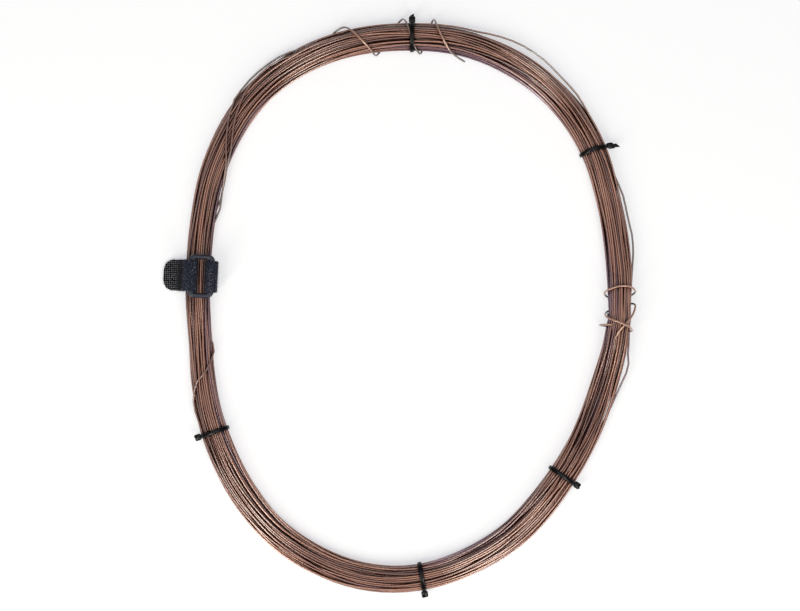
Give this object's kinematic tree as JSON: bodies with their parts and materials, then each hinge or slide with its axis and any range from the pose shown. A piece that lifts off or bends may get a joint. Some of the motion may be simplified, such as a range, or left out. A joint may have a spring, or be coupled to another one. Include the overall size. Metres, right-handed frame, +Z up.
{
  "type": "coil of copper wire",
  "caption": "Oval hank of bare brown copper wire lying flat, held by black cable ties and a hook-and-loop strap with a plastic buckle.",
  "frame": {"origin": "on the floor, under the middle of the coil's outline", "axes": "+Z up from the floor through the oval loop, +Y along the loop's length to the end where the outer wire end is wrapped, +X across the loop away from the strap"},
  "size_m": [0.3052, 0.3766, 0.0198],
  "materials": {
    "wire": "dull brown tarnished bare copper",
    "tie": "satin black nylon",
    "strap": "fuzzy blue-black woven hook-and-loop",
    "buckle": "semi-gloss blue-black moulded plastic"
  },
  "bodies": {
    "root": {"wire_coil": "wire", "cable_tie_right": "tie", "cable_tie_upper_right": "tie", "cable_tie_top": "tie", "cable_tie_lower_left": "tie", "cable_tie_bottom": "tie", "cable_tie_lower_right": "tie", "fastening_strap": "strap", "strap_buckle": "buckle"}
  },
  "joints": []
}
